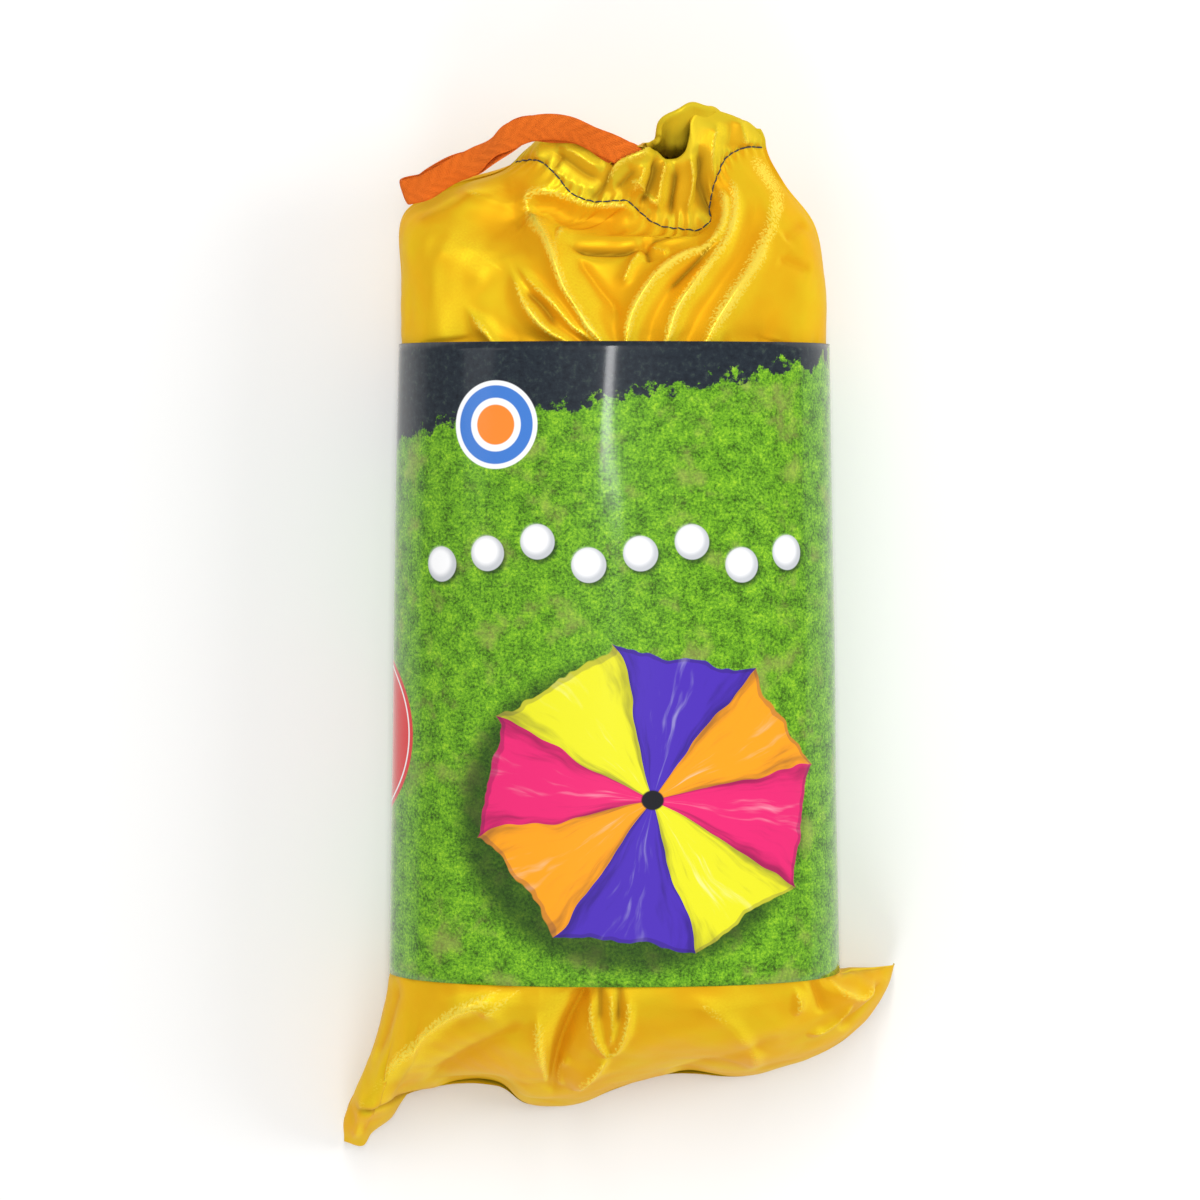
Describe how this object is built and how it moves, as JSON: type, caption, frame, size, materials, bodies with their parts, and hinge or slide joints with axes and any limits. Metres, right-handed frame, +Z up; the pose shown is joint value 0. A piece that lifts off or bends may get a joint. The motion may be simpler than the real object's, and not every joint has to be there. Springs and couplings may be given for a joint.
{
  "type": "play parachute",
  "caption": "Round play parachute folded in a drawstring bag, held by a printed card sleeve that slides off over the gathered mouth.",
  "frame": {"origin": "bottom centre of the pack's box, the drawstring loop left out, as it lies on its back", "axes": "+X across the pack, +Y towards the gathered mouth of the bag, +Z up from the surface it lies on"},
  "size_m": [0.2188, 0.408, 0.108],
  "materials": {
    "printed_card": "gloss",
    "bag_satin": "satin",
    "orange_tape": "matte",
    "violet_cloth": "satin",
    "yellow_cloth": "satin",
    "magenta_cloth": "satin",
    "orange_cloth": "satin",
    "black_cloth": "matte",
    "white_tape": "matte"
  },
  "bodies": {
    "bag": {"bag_front": "bag_satin", "bag_back": "bag_satin", "drawstring_channel_run": "orange_tape", "drawstring_loop": "orange_tape", "gore_violet_1": "violet_cloth", "gore_yellow_1": "yellow_cloth", "gore_magenta_1": "magenta_cloth", "gore_orange_1": "orange_cloth", "gore_violet_2": "violet_cloth", "gore_yellow_2": "yellow_cloth", "gore_magenta_2": "magenta_cloth", "gore_orange_2": "orange_cloth", "crown_patch": "black_cloth", "handle_1": "white_tape", "handle_2": "white_tape", "handle_3": "white_tape", "handle_4": "white_tape", "handle_5": "white_tape", "handle_6": "white_tape", "handle_7": "white_tape", "handle_8": "white_tape"},
    "sleeve": {"card_sleeve": "printed_card"}
  },
  "joints": [
    {"name": "sleeve_slide", "type": "slide", "parent": "bag", "child": "sleeve", "axis": [0, 1, 0], "range_m": [0, 0.335]}
  ]
}
